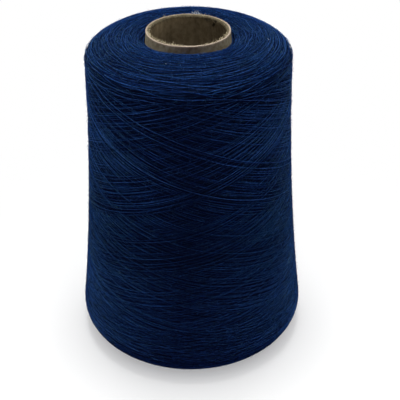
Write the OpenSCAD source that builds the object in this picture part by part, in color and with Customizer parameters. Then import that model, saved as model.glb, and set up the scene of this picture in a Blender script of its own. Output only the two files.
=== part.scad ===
// Cross-wound thread package on a tapered paper cone.
// The cone stands on its wide end, with the origin at the middle of that end and +Z up.
// Four rounded stretches that run into each other make the outline of the wound thread,
// and the outermost turns lie over it as one unbroken thread.

/* [Paper cone] */
// Length of the cone from end to end
cone_l = 170; // [150:1:200]
// Outside diameter at the nose, the narrow end
nose_od = 40; // [36:0.5:44]
// Half angle of the taper, in degrees
cone_angle = 4.333; // [3.5:0.001:5]
// Thickness of the thin ply that lines the cone
liner_t = 0.5; // [0.3:0.05:0.8]
// Thickness of the stiff board that makes the body of the cone
board_t = 1.3; // [0.9:0.1:2]
// Thickness of the smooth ply round the outside
cover_t = 0.5; // [0.3:0.05:0.8]
// Thickness of the dried glue between two plies
glue_t = 0.05; // [0.03:0.01:0.1]
// How far the two thin plies stop short of the board at each end
ply_setback = 0.3; // [0.1:0.05:0.6]
// Thickness of the liner's last edge where it laps over its first turn
lap_t = 0.35; // [0.2:0.05:0.5]
// Width of that lap round the cone, in degrees
lap_angle = 16; // [8:1:30]
// Place of the lap round the cone, in degrees from +X
lap_at = 47; // [0:1:360]
// Width of the slot where the two edges of the outside ply meet
seam_w = 1.2; // [0.6:0.1:2]
// Place of that slot round the cone, in degrees from +X
seam_at = 205; // [0:1:360]

/* [Wound thread] */
// Length of bare cone at the foot
foot_bare = 4.6; // [2:0.1:8]
// Length of bare cone at the nose
nose_bare = 3.5; // [1.5:0.1:8]
// Widest diameter, just above the foot
belly_d = 118.5; // [108:0.5:126]
// Widest diameter at the shoulder, under the domed top
shoulder_d = 96.6; // [90:0.1:104]
// Depth of the hollow along the side, halfway up
side_hollow = 2.1; // [1:0.1:3]
// Radius of the rounded edge at the foot
foot_r = 9.6; // [6:0.2:14]
// Radius of the rounded edge at the shoulder
shoulder_r = 1.5; // [1:0.5:6]
// Radius of the domed top
dome_r = 25.5; // [18:0.5:30]
// Slope of the dome where it meets the shoulder, in degrees
dome_slope = 48; // [38:1:52]
// Clearance between the thread and the cone it is wound on
cone_fit = 0.1; // [0.05:0.05:0.3]

/* [Outer thread] */
// Thickness of the thread
thread_d = 0.8; // [0.6:0.05:0.9]
// Trips that the thread makes from the foot to the top and back
trips = 6; // [4:1:6]
// Clearance where one turn crosses over another
cross_gap = 0.45; // [0.42:0.01:0.6]
// Clearance between the lowest turns and the wound body under them
seat_gap = 0.3; // [0.2:0.05:0.5]
// Distance that the turns reach down round the foot's edge
foot_reach = 9; // [4:0.5:11]
// Distance that the turns reach up over the dome
dome_reach = 10; // [4:0.5:12]
// Clearance between the thread's cut ends and the wound body
end_gap = 0.05; // [0.02:0.01:0.1]

/* [Hidden] */

paper_tan = [0.62, 0.55, 0.44];
paper_brown = [0.45, 0.38, 0.28];
paper_grey = [0.55, 0.53, 0.49];
thread_navy = [0.09, 0.14, 0.33];
thread_light = [0.14, 0.21, 0.42];

taper = tan(cone_angle);
full_turn = 360;
cut_over = 1;       // how far a cutting block runs past what it cuts
smooth = 180;       // sides of a full circle on the round pieces

// Outer radius of the whole cone at a height.
function cone_r(z) = nose_od / 2 + (cone_l - z) * taper;

// Depth of each ply's outer face below the outer face of the cone.
board_depth = cover_t + glue_t;
liner_depth = board_depth + board_t + glue_t;
wall_t = liner_depth + liner_t;

// --- Outline of the wound thread, as [radius, height] ---
// Foot, dome and shoulder are arcs with their centres inside the thread. The side is a
// shallow hollow arc with its centre far outside, which touches the foot and the shoulder.

foot_z = foot_bare;
top_z = cone_l - nose_bare;
foot_c = [belly_d / 2 - foot_r, foot_z + foot_r];
dome_c = [shoulder_d / 2 - shoulder_r - (dome_r - shoulder_r) * cos(dome_slope), top_z - dome_r];
shoulder_c = dome_c + (dome_r - shoulder_r) * [cos(dome_slope), sin(dome_slope)];

side_span = norm(shoulder_c - foot_c);
side_r = side_span * side_span / (8 * side_hollow) + side_hollow / 2;
side_dir = (shoulder_c - foot_c) / side_span;
foot_to_side = side_r + foot_r;
shoulder_to_side = side_r + shoulder_r;
side_along = (foot_to_side * foot_to_side - shoulder_to_side * shoulder_to_side
              + side_span * side_span) / (2 * side_span);
side_out = sqrt(foot_to_side * foot_to_side - side_along * side_along);
side_c = foot_c + side_along * side_dir + side_out * [side_dir[1], -side_dir[0]];

// Angle of the outward normal above the level, where the side begins and ends.
side_low = atan2(side_c[1] - foot_c[1], side_c[0] - foot_c[0]);
side_high = atan2(side_c[1] - shoulder_c[1], side_c[0] - shoulder_c[0]);

// Lengths of the side and the shoulder along the outline.
side_l = side_r * (side_low - side_high) * PI / 180;
shoulder_l = shoulder_r * (dome_slope - side_high) * PI / 180;

function unit(a) = [cos(a), sin(a)];
function degrees(length, radius) = length / radius * 180 / PI;

// Angle of the normal at a length along the outline, counted up from the foot of the side.
function outline_angle(l) =
    l < 0 ? side_low + degrees(l, foot_r) :
    l < side_l ? side_low - degrees(l, side_r) :
    l < side_l + shoulder_l ? side_high + degrees(l - side_l, shoulder_r) :
    dome_slope + degrees(l - side_l - shoulder_l, dome_r);

// Point at a length along the outline, raised off it by a height.
function outline_at(l, height) =
    let (n = unit(outline_angle(l)))
    l < 0 ? foot_c + (foot_r + height) * n :
    l < side_l ? side_c - (side_r - height) * n :
    l < side_l + shoulder_l ? shoulder_c + (shoulder_r + height) * n :
    dome_c + (dome_r + height) * n;

foot_steps = 12;
side_steps = 10;
shoulder_steps = 4;
dome_steps = 8;

function arc(c, r, from, to, steps) = [for (i = [0:steps]) c + r * unit(from + (to - from) * i / steps)];

body_outline = concat(
    arc(foot_c, foot_r, -90, side_low, foot_steps),
    [for (i = [1:side_steps - 1]) outline_at(side_l * i / side_steps, 0)],
    arc(shoulder_c, shoulder_r, side_high, dome_slope, shoulder_steps),
    [for (i = [1:dome_steps]) dome_c + dome_r * unit(dome_slope + (90 - dome_slope) * i / dome_steps)]);

// --- Path of the outer thread ---
// The thread keeps turning the same way while it travels up and down the outline. It makes
// one turn less than a whole number in all its trips, so that each trip lies beside the last.
// A turn has four steps for each trip, which puts every crossing on a step of both turns.

tube_sides = 6;
trip_turns = 4;
turn_steps = 4 * trips;
stroke_steps = (trip_turns * turn_steps - turn_steps / trips) / 2;
thread_steps = 2 * trips * stroke_steps;
step_angle = full_turn / turn_steps;
first_angle = 90;       // the thread's two ends lie at the back
first_step = 1;
last_step = thread_steps - first_step;
cross_steps = 2;        // steps from a turning point to the nearest crossing
travel_l = foot_reach + side_l + shoulder_l + dome_reach;
low_height = seat_gap + thread_d / 2;
level_rise = thread_d + cross_gap;
chord = 1 / cos(step_angle / 2);    // lifts the corners, so that the straight steps clear the body

// Share of a stroke from the nearer turning point, rounded where the thread turns.
turn_round = 0.6 / stroke_steps;
function rounded(a) = sqrt(a * a + turn_round * turn_round) + 0.5 - sqrt(0.25 + turn_round * turn_round);

// How far up the outline the thread is, from 0 at the foot to 1 on the dome.
function travel(step) =
    let (stroke = step / stroke_steps, turning = round(stroke), a = rounded(abs(stroke - turning)))
    turning % 2 == 0 ? a : 1 - a;

// Rising strands lie low and falling strands lie over them. A strand changes level while it
// turns round, between the crossings on its two sides.
function ease(x) = x <= 0 ? 0 : x >= 1 ? 1 : x * x * (3 - 2 * x);
function level(step) =
    let (turning = round(step / stroke_steps), from_turning = step - turning * stroke_steps,
         changed = ease((from_turning / cross_steps + 1) / 2))
    step <= first_step || step >= last_step ? 1 :
    turning % 2 == 1 ? changed : 1 - changed;

function thread_l(step) = travel(step) * travel_l - foot_reach;
function around(step) = first_angle + step * step_angle;

// A point or a direction of the outline, turned round the axis.
function spun(p, a) = [p[0] * cos(a), p[0] * sin(a), p[1]];
function thread_point(step) =
    let (p = outline_at(thread_l(step), low_height + level_rise * level(step)))
    spun([p[0] * chord, p[1]], around(step));
function thread_normal(step) = spun(unit(outline_angle(thread_l(step))), around(step));
function thread_heading(step) =
    let (ahead = thread_point(step + 0.5) - thread_point(step - 0.5))
    ahead / norm(ahead);

// A bend into the body: over an arc of one thread's thickness, then straight down, square to
// the body. way is -1 at the start of the thread and 1 at its end.
bend_steps = 5;
bend_r = thread_d;
function square_heading(step) =
    let (n = thread_normal(step), t = thread_heading(step), flat = t - (t * n) * n)
    flat / norm(flat);
function end_height(step) =
    let (p = outline_at(thread_l(step), 0))
    (thread_point(step) - spun(p, around(step))) * thread_normal(step);
function end_bend(step, way) =
    let (p = thread_point(step), n = thread_normal(step), t = way * square_heading(step))
    concat(
        [for (i = [1:bend_steps]) let (a = 90 * i / bend_steps)
            [p - bend_r * n + bend_r * (cos(a) * n + sin(a) * t), way * (cos(a) * t - sin(a) * n)]],
        [[p + bend_r * t - (end_height(step) - end_gap) * n, -way * n]]);

function backwards(list) = [for (i = [len(list) - 1:-1:0]) list[i]];

// Each ring of the tube as [centre, heading, sideways].
function with_side(list, step) =
    let (side = cross(square_heading(step), thread_normal(step)))
    [for (r = list) [r[0], r[1], side]];
function thread_rings() = concat(
    backwards(with_side(end_bend(first_step, -1), first_step)),
    [for (s = [first_step:last_step])
        let (heading = thread_heading(s), side = cross(heading, thread_normal(s)))
        [thread_point(s), heading, side / norm(side)]],
    with_side(end_bend(last_step, 1), last_step));

// Least distance between two places on the thread that are more than part of a turn apart,
// measured on the ring centres and on points between them.
between = 3;
apart = 6;
function fine_points(rings) = [for (i = [0:len(rings) - 2]) for (k = [0:between - 1])
    rings[i][0] + (rings[i + 1][0] - rings[i][0]) * k / between];
function least_gap(points) = min([for (i = [0:len(points) - 1 - apart * between])
    min([for (j = [i + apart * between:len(points) - 1]) norm(points[i] - points[j])])]) - thread_d;

// A closed tube of triangles along the rings.
module tube(rings, radius, sides) {
    last = len(rings) - 1;
    points = [for (r = rings) let (up = cross(r[2], r[1])) for (k = [0:sides - 1])
        let (a = full_turn * k / sides) r[0] + radius * (cos(a) * up + sin(a) * r[2])];
    walls = [for (i = [0:last - 1]) for (k = [0:sides - 1])
        let (a = i * sides + k, b = i * sides + (k + 1) % sides)
        each [[a, b, a + sides], [b, b + sides, a + sides]]];
    start_cap = [for (k = [1:sides - 2]) [0, k + 1, k]];
    end_cap = [for (k = [1:sides - 2]) [last * sides, last * sides + k, last * sides + k + 1]];
    polyhedron(points = points, faces = concat(walls, start_cap, end_cap), convexity = 10);
}

// A tapered ring between two depths below the outer face of the cone, short of both ends.
module ply(outer_depth, thickness, setback) {
    low = setback;
    high = cone_l - setback;
    rotate_extrude($fn = smooth)
        polygon([
            [cone_r(low) - outer_depth - thickness, low],
            [cone_r(low) - outer_depth, low],
            [cone_r(high) - outer_depth, high],
            [cone_r(high) - outer_depth - thickness, high]]);
}

// Thin inside ply, with the last edge lapped over the first turn.
module cone_liner() {
    low = ply_setback;
    high = cone_l - ply_setback;
    color(paper_brown) {
        union() {
            ply(liner_depth, liner_t, ply_setback);
            rotate([0, 0, lap_at - lap_angle / 2])
                rotate_extrude(angle = lap_angle, $fn = smooth)
                    polygon([
                        [cone_r(low) - wall_t - lap_t, low],
                        [cone_r(low) - wall_t + liner_t / 2, low],
                        [cone_r(high) - wall_t + liner_t / 2, high],
                        [cone_r(high) - wall_t - lap_t, high]]);
        }
    }
}

// Stiff rolled board. The whole package stands on its wide end.
module cone_board() {
    color(paper_tan) ply(board_depth, board_t, 0);
}

// Smooth outside ply, with a narrow slot where its two edges meet.
module cone_cover() {
    color(paper_grey)
        difference() {
            ply(0, cover_t, ply_setback);
            rotate([0, 0, seam_at])
                translate([0, -seam_w / 2, -cut_over])
                    cube([cone_r(0) + cut_over, seam_w, cone_l + 2 * cut_over]);
        }
}

// All the thread under the outermost turns, wound solid round the cone.
module wound_body() {
    color(thread_navy)
        rotate_extrude($fn = smooth)
            polygon(concat(
                [[cone_r(foot_z) + cone_fit, foot_z]],
                body_outline,
                [[cone_r(top_z) + cone_fit, top_z]]));
}

// The outermost turns, as one thread from its start to its end.
module outer_thread() {
    rings = thread_rings();
    echo(turns = (last_step - first_step) / turn_steps, least_gap = least_gap(fine_points(rings)));
    color(thread_light) tube(rings, thread_d / 2, tube_sides);
}

cone_liner();
cone_board();
cone_cover();
wound_body();
outer_thread();
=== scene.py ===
# %% [markdown]
# # A cone of sewing thread
#
# Thread for sewing, quilting and knitting machines is wound crosswise on a tapered paper cone. This notebook
# dresses the measured solids of such a cone. It lays the thread turn by turn, as the winding machine does,
# and gives the paper its rolled plies and its rough cut edge.

# %% Load the solids and measure them
import math

import bpy
import numpy as np
from mathutils import Matrix, Vector


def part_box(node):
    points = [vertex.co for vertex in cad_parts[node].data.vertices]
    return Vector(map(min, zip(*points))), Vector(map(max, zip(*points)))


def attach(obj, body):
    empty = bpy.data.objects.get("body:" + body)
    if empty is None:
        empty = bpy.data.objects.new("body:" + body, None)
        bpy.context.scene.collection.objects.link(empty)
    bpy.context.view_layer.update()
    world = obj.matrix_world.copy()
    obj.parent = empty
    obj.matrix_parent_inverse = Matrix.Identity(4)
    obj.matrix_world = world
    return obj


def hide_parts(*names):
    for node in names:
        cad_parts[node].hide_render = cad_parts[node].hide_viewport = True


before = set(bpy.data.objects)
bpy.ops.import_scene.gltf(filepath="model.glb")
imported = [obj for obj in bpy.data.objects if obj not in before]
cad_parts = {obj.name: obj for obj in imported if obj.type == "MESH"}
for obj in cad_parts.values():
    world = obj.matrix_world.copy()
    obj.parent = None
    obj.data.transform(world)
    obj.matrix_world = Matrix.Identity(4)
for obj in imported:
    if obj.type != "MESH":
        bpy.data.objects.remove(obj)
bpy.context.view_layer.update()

MM = 0.001
BODY = "root"

# %% [markdown]
# ## Camera
#
# A long lens from about half a metre away, looking down by some 34 degrees, shows the side, the domed top
# and a little of the open bore at once. The camera is placed by the point that it looks at, its distance and
# its tilt, which is easier to change than three loose coordinates. It is also turned by a hair about its own
# axis, as a hand-held camera is.

# %% Camera
LOOK_DOWN = math.radians(33.685)
LOOK_DISTANCE = 451.1 * MM
LOOK_AT = Vector((4.96, 0, 73.94)) * MM
CAMERA_ROLL = math.radians(0.4)
LENS_MM = 76.5
SENSOR_MM = 36


def add_camera():
    ahead = Vector((0, math.cos(LOOK_DOWN), -math.sin(LOOK_DOWN)))
    level_up = Vector((0, math.sin(LOOK_DOWN), math.cos(LOOK_DOWN)))
    level_right = Vector((1, 0, 0))
    right = level_right * math.cos(CAMERA_ROLL) - level_up * math.sin(CAMERA_ROLL)
    up = level_right * math.sin(CAMERA_ROLL) + level_up * math.cos(CAMERA_ROLL)
    data = bpy.data.cameras.new("camera")
    data.lens = LENS_MM
    data.sensor_width = SENSOR_MM
    camera = bpy.data.objects.new("camera", data)
    turned = Matrix((right, up, -ahead)).transposed().to_4x4()
    camera.matrix_world = Matrix.Translation(LOOK_AT - ahead * LOOK_DISTANCE) @ turned
    bpy.context.scene.collection.objects.link(camera)
    bpy.context.scene.camera = camera
    return camera


camera = add_camera()
print("camera at, in mm:", [round(c / MM, 1) for c in camera.matrix_world.translation])

# %% [markdown]
# ## Shader maths as Python
#
# A Blender material is a graph of nodes. Written out by hand, a sum of two masks takes three lines, so a
# small class wraps an output socket and lets Python's operators add the Math nodes. Everything else goes
# through one method, which sets a node up first and then fills its sockets.

# %% A wrapped socket
class Value:
    """An output socket that can be added to, multiplied and so on."""

    def __init__(self, finish, socket):
        self.finish = finish
        self.socket = socket

    def maths(self, operation, *others):
        return self.finish.node("ShaderNodeMath", {"operation": operation}, dict(enumerate([self, *others])))

    def __add__(self, other):
        return self.maths("ADD", other)

    def __sub__(self, other):
        return self.maths("SUBTRACT", other)

    def __mul__(self, other):
        return self.maths("MULTIPLY", other)

    def __rsub__(self, other):
        return self.finish.node("ShaderNodeMath", {"operation": "SUBTRACT"}, {0: other, 1: self})

    __radd__ = __add__
    __rmul__ = __mul__

    def sine(self):
        return self.maths("SINE")

    def between(self, low, high):
        """0 below low, 1 above high and a smooth rise from one to the other."""
        return self.finish.node("ShaderNodeMapRange", {"interpolation_type": "SMOOTHSTEP", "clamp": True},
                                {"Value": self, "From Min": low, "From Max": high})

# %% A finish and its nodes
class Finish:
    """A material with a Principled shader, and the methods that build the rest of its graph."""

    def __init__(self, name, **constants):
        self.material = bpy.data.materials.new(name)
        self.material.use_nodes = True
        self.tree = self.material.node_tree
        self.shader = self.tree.nodes["Principled BSDF"]
        for socket, value in constants.items():
            self.shader.inputs[socket.replace("_", " ")].default_value = value

    def fill(self, socket, value):
        if isinstance(value, Value):
            self.tree.links.new(value.socket, socket)
        else:
            socket.default_value = value

    def node(self, kind, settings=None, sockets=None, output=0):
        made = self.tree.nodes.new(kind)
        for name, value in (settings or {}).items():
            setattr(made, name, value)
        for name, value in (sockets or {}).items():
            self.fill(made.inputs[name], value)
        return Value(self, made.outputs[output])

    def mix(self, share, first, second):
        """A colour that goes from the first to the second as share goes from 0 to 1."""
        # The node has sockets for numbers and vectors too, so those for colours go by their places.
        first_socket, second_socket, colour_output = 6, 7, 2
        return self.node("ShaderNodeMix", {"data_type": "RGBA"},
                         {0: share, first_socket: first, second_socket: second}, colour_output)

    def tint(self, colour, amount):
        """A colour made darker or lighter by a number that changes over the surface."""
        return self.node("ShaderNodeVectorMath", {"operation": "SCALE"}, {"Vector": colour, "Scale": amount})

    def place(self):
        return self.node("ShaderNodeTexCoord", output="Object")

    def stretched(self, sideways, upright):
        """Object coordinates scaled, so that a noise comes out as streaks."""
        return self.node("ShaderNodeMapping", None,
                         {"Vector": self.place(), "Scale": (sideways, sideways, upright)})

    def noise(self, scale, detail=2, roughness=0.5, vector=None):
        """Blotches, of which about as many fit in a metre as scale says."""
        return self.node("ShaderNodeTexNoise", None,
                         {"Vector": vector or self.place(), "Scale": scale, "Detail": detail,
                          "Roughness": roughness})

    def bump(self, height, distance, strength=1):
        return self.node("ShaderNodeBump", None,
                         {"Height": height, "Distance": distance, "Strength": strength})

    def use(self, **values):
        """Plugs values into the shader's own sockets and gives the finished material."""
        for name, value in values.items():
            self.fill(self.shader.inputs[name.replace("_", " ")], value)
        return self.material

# %% A colour as it looks on a screen
def colour(red, green, blue):
    """A colour given as it looks on a screen, from 0 to 255, as the linear values that shaders take."""
    shares = [c / 255 for c in (red, green, blue)]
    return (*[s / 12.92 if s <= 0.04045 else ((s + 0.055) / 1.055) ** 2.4 for s in shares], 1)


# %% [markdown]
# ## Meshes from arrays
#
# The thread needs hundreds of thousands of faces. Adding them one by one is slow, so every mesh here comes
# from arrays: one of points, and one or two of corner numbers. The same helper stores a number for each
# point, which the materials read, and the maps that say how far along and round the thread a corner lies.

# %% Build a mesh from arrays
def add_piece(name, points, faces, material):
    """points in millimetres; faces is a list of arrays, each with a column for each corner of its faces."""
    mesh = bpy.data.meshes.new(name)
    mesh.vertices.add(len(points))
    mesh.vertices.foreach_set("co", (points * MM).astype(np.float32).ravel())
    corners = np.concatenate([f.ravel() for f in faces]).astype(np.int32)
    sizes = np.concatenate([np.full(len(f), f.shape[1]) for f in faces])
    starts = np.concatenate([[0], np.cumsum(sizes)[:-1]]).astype(np.int32)
    mesh.loops.add(len(corners))
    mesh.loops.foreach_set("vertex_index", corners)
    mesh.polygons.add(len(sizes))
    mesh.polygons.foreach_set("loop_start", starts)
    mesh.update(calc_edges=True)
    mesh.polygons.foreach_set("use_smooth", np.full(len(sizes), True))
    mesh.validate()
    mesh.materials.append(material)
    piece = bpy.data.objects.new(name, mesh)
    bpy.context.scene.collection.objects.link(piece)
    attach(piece, BODY)
    return piece

# %% Store numbers and maps with a mesh
def add_number(piece, name, values):
    piece.data.attributes.new(name, "FLOAT", "POINT").data.foreach_set("value", values.astype(np.float32))


def add_map(piece, name, places):
    piece.data.uv_layers.new(name=name).data.foreach_set("uv", places.astype(np.float32).ravel())


# %% [markdown]
# ## The outline of the wound thread
#
# Seen from the side, the thread's outline is a chain of arcs: a rounded foot, a long side that is very
# slightly hollow, a tight shoulder and a dome, with flat ends next to the paper. A place on the thread is
# then two numbers, an angle round the cone and a length along this outline, and a third says how high it
# lies. The sizes that the solids show are read from them, and the radii of the arcs are repeated here.

# %% Sizes of the outline
SIDE_HOLLOW = 2.1        # how far the side is hollowed at its middle
FOOT_RADIUS = 9.6
SHOULDER_RADIUS = 1.5
DOME_RADIUS = 25.5
DOME_SLOPE = math.radians(48)
SHOULDER_ACROSS = 48.3   # distance of the shoulder's widest point from the axis
FOOT_FLAT = 16.4         # width of the flat ring under the foot, up to the paper
PAPER_ACROSS = 20.6      # distance from the axis at which the dome's thread ends next to the paper

body_low, body_high = [np.array(p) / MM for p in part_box("wound_body")]
board_high = np.array(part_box("cone_board")[1]) / MM
BELLY_ACROSS = float(round(body_high[0], 2))
FOOT_Z = float(body_low[2])
TOP_Z = float(body_high[2])
CONE_LENGTH = float(board_high[2])

# %% Centres of the arcs
def direction(angle):
    return np.array([math.cos(angle), math.sin(angle)])


foot_centre = np.array([BELLY_ACROSS - FOOT_RADIUS, FOOT_Z + FOOT_RADIUS])
dome_inset = (DOME_RADIUS - SHOULDER_RADIUS) * direction(DOME_SLOPE)
dome_centre = np.array([SHOULDER_ACROSS - SHOULDER_RADIUS - dome_inset[0], TOP_Z - DOME_RADIUS])
shoulder_centre = dome_centre + dome_inset
span = np.linalg.norm(shoulder_centre - foot_centre)
side_way = (shoulder_centre - foot_centre) / span
SIDE_RADIUS = span ** 2 / (8 * SIDE_HOLLOW) + SIDE_HOLLOW / 2
along = ((SIDE_RADIUS + FOOT_RADIUS) ** 2 - (SIDE_RADIUS + SHOULDER_RADIUS) ** 2 + span ** 2) / (2 * span)
outward = math.sqrt((SIDE_RADIUS + FOOT_RADIUS) ** 2 - along ** 2)
side_centre = foot_centre + along * side_way + outward * np.array([side_way[1], -side_way[0]])
side_low = math.atan2(*(side_centre - foot_centre)[::-1])
side_high = math.atan2(*(side_centre - shoulder_centre)[::-1])

# Lengths along the outline at which one stretch ends and the next begins; 0 is the foot of the side.
FOOT_END = -FOOT_RADIUS * (side_low + math.pi / 2)
SIDE_END = SIDE_RADIUS * (side_low - side_high)
SHOULDER_END = SIDE_END + SHOULDER_RADIUS * (DOME_SLOPE - side_high)
DOME_END = SHOULDER_END + DOME_RADIUS * (math.pi / 2 - DOME_SLOPE)

# %% A place on the outline
def outline(length, height):
    """Distance from the axis, height above the floor and angle of the outward normal, for arrays."""
    length, height = np.broadcast_arrays(np.asarray(length, float), np.asarray(height, float))
    tests = [length < FOOT_END, length < 0, length < SIDE_END, length < SHOULDER_END, length < DOME_END]
    angle = np.select(tests, [
        np.full(length.shape, -math.pi / 2),
        side_low + length / FOOT_RADIUS,
        side_low - length / SIDE_RADIUS,
        side_high + (length - SIDE_END) / SHOULDER_RADIUS,
        DOME_SLOPE + (length - SHOULDER_END) / DOME_RADIUS], math.pi / 2)
    bends = [FOOT_RADIUS, FOOT_RADIUS, -SIDE_RADIUS, SHOULDER_RADIUS, DOME_RADIUS]
    bend = np.select(tests, bends, DOME_RADIUS)
    centres = [foot_centre, foot_centre, side_centre, shoulder_centre, dome_centre]
    across = np.select(tests, [c[0] for c in centres], dome_centre[0]) + (bend + height) * np.cos(angle)
    up = np.select(tests, [c[1] for c in centres], dome_centre[1]) + (bend + height) * np.sin(angle)
    across = across + np.minimum(length - FOOT_END, 0) - np.maximum(length - DOME_END, 0)
    return across, up, angle


print("outline lengths in mm:", [round(v, 1) for v in (FOOT_END, SIDE_END, SHOULDER_END, DOME_END)])

# %% [markdown]
# ## Winding the thread
#
# A picture of thread could be painted on the solid, but it would look printed as soon as light comes from
# the side. So the thread is wound. A grid over the surface remembers how high the thread already lies. Each
# new stretch reads the grid under its path, is pulled tight over what it crosses, and raises the grid where
# it lies. Turns then pass over and under each other, with dark gaps between them, without any being placed
# by hand.

# %% Sizes of the thread and of the grid that remembers its height
THREAD = 0.23            # thickness of the thread
ROUND_STEPS = 720        # steps in one turn
CELL = 0.2               # size of a grid cell along the outline
LIE_LOW = 0.8            # how far thread on thread is squashed, as a share of its thickness
PULL_STEPS = 9           # steps over which a taut thread bridges what is under it
TAUT, SLACK = 0.65, 0.35     # it rests so far on the highest thread near by, and so far on what is under it
SETTLE_STEPS = 3         # steps over which its final depth is smoothed
NEAR = 2                 # steps and cells within which thread counts as near
LEVEL_REACH = 8          # steps and cells over which the surface is evened out
EVEN_EVERY = 20          # stretches after which the surface is evened out
SKIN = 1.2               # height of the thread's surface above the solid
LOWEST = FOOT_END - FOOT_FLAT                        # length at which the thread ends under the foot
HIGHEST = DOME_END + dome_centre[0] - PAPER_ACROSS   # and on the dome
GULLY_WIDTH = 7.0        # the thread sinks in over this width next to the paper
GULLY_FRONT = 0.7        # and by this much at the front and the back
GULLY_SIDES = 2.6        # and by this much at the two sides

# %% Helpers for a path
def gully(steps, lengths):
    """How far the thread sinks next to the paper, over steps and lengths."""
    depth = GULLY_FRONT + (GULLY_SIDES - GULLY_FRONT) * np.cos(steps * (2 * math.pi / ROUND_STEPS)) ** 2
    share = np.clip(1 - (HIGHEST - lengths) / GULLY_WIDTH, 0, 1)
    return depth * share ** 2 * (3 - 2 * share)


def spread_max(values, reach):
    """The highest of the values within reach of each place."""
    padded = np.pad(values, reach, mode="edge")
    return np.lib.stride_tricks.sliding_window_view(padded, 2 * reach + 1).max(axis=1)


def smoothed(values, reach, edge="edge"):
    """Averages over reach places to each side, in which the near ones count most."""
    weights = np.hanning(2 * reach + 3)[1:-1]
    padded = np.pad(values, reach, mode=edge)
    return np.convolve(padded, weights / weights.sum(), mode="valid")

# %% The surface that grows as thread is laid
class Wound:
    """The height of everything wound so far, over angle and length along the outline."""

    def __init__(self):
        self.rows = int((HIGHEST - LOWEST) / CELL) + 3   # with spare rows at both ends
        self.top = np.zeros((ROUND_STEPS, self.rows))    # measured from the evened surface
        self.sunk = np.zeros_like(self.top)              # how far that surface has risen so far
        self.stretches = []
        weights = np.hanning(2 * LEVEL_REACH + 3)[1:-1]
        brush = np.zeros_like(self.top)
        brush[:len(weights), :len(weights)] = np.outer(weights, weights) / weights.sum() ** 2
        self.brush = np.fft.rfft2(np.roll(brush, (-LEVEL_REACH, -LEVEL_REACH), axis=(0, 1)))

    def cells(self, steps, lengths):
        """Columns and rows of the grid in which a path lies."""
        return steps % ROUND_STEPS, np.clip(((lengths - LOWEST) / CELL).astype(int), 1, self.rows - 2)

    def lay(self, steps, lengths, dive=0.0):
        """Lays one stretch of thread and remembers it. dive sinks it, as where later turns cover it."""
        columns, rows = self.cells(steps, lengths)
        # Beside its middle, a round thread lies lower by a quarter of its thickness.
        beside = np.maximum(self.top[columns, rows - 1], self.top[columns, rows + 1]) - THREAD / 4
        under = np.maximum(self.top[columns, rows], beside)
        taut = smoothed(TAUT * spread_max(under, PULL_STEPS) + SLACK * under, PULL_STEPS)
        centre = taut + THREAD / 2 * LIE_LOW - dive
        np.maximum.at(self.top, (columns, rows), centre + THREAD / 2)
        for side in (-1, 1):
            np.maximum.at(self.top, (columns, rows + side), centre + THREAD / 4)
        self.stretches.append([steps, lengths, centre + self.sunk[columns, rows]])
        if len(self.stretches) % EVEN_EVERY == 0:
            self.even_out()

    def even_out(self):
        """Takes the wider hills out of the surface, as the pressure of later turns does."""
        near = self.top
        for axis in (0, 1):
            near = np.maximum.reduce([np.roll(near, cells, axis=axis) for cells in range(-NEAR, NEAR + 1)])
        level = np.fft.irfft2(np.fft.rfft2(near) * self.brush, near.shape)
        self.top -= level
        self.sunk += level

    def depths(self, steps, lengths, heights):
        """How far the middle of a stretch lies above the finished surface; mostly less than nothing."""
        return smoothed(heights - self.sunk[self.cells(steps, lengths)], SETTLE_STEPS)


# %% [markdown]
# ## Arcs at the two ends
#
# On the dome and under the foot, only the places where older strokes turned round can be seen, and those are
# nearly level arcs. All strokes could be carried on to the paper, but they would pile up there. So the two
# ends get arcs of their own, which are laid first, from the paper outwards. Both ends of an arc dive under
# what is laid later, so no cut end shows.

# %% Numbers of the arcs
DOME_ARCS = 1050
FOOT_ARCS = 610
ARC_REACH = (120, 260)       # steps to each side of an arc's turning point
ARC_SLOPE = (0.10, 0.36)     # how steeply its two arms fall away
ARC_TIP = (8, 45)            # steps over which it turns round
ARC_SPREAD = 1.6             # how far it may lie from its even place
WANDER, WANDER_STEPS = 0.22, 20              # a strand wanders sideways this much in so many steps
ARC_WANDER, ARC_WANDER_STEPS = 0.38, 12      # the arcs of the ends are slack
DIVE_STEPS = 26              # the last steps of an arc, in which it dives
DIVE_DEPTH = 0.9
EDGE_ROOM = 0.3              # no thread's middle comes nearer than this to where the surface ends
DOME_ARCS_TO = SHOULDER_END + 6
FOOT_ARCS_TO = FOOT_END + 4

# %% An arc and its wander
def wandering(steps, rng, wander=WANDER, apart=WANDER_STEPS):
    """The small sideways wander of a soft thread, which never lies quite true."""
    knots = steps[::apart]
    return smoothed(np.interp(steps, knots, rng.normal(0, wander, len(knots))), apart // 2)


def lay_arcs(wound, rng, start, end, count):
    """Arcs from the paper, at start, out to the edge, at end."""
    way = 1 if end > start else -1
    for turning in np.linspace(start, end, count) + rng.normal(0, ARC_SPREAD, count):
        reach = int(rng.integers(*ARC_REACH))
        middle = int(rng.integers(ROUND_STEPS))
        steps = np.arange(-reach, reach + 1)
        tip = rng.uniform(*ARC_TIP)
        step_length = outline(turning, SKIN)[0] * 2 * math.pi / ROUND_STEPS
        drop = rng.uniform(*ARC_SLOPE) * step_length * (np.hypot(steps, tip) - tip)
        lengths = turning + way * drop + wandering(steps, rng, ARC_WANDER, ARC_WANDER_STEPS)
        near_end = np.clip((np.abs(steps) - reach + DIVE_STEPS) / DIVE_STEPS, 0, 1)
        lengths = np.clip(lengths, LOWEST + EDGE_ROOM, HIGHEST - EDGE_ROOM)
        wound.lay(steps + middle + ROUND_STEPS, lengths, DIVE_DEPTH * near_end ** 2)

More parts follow.
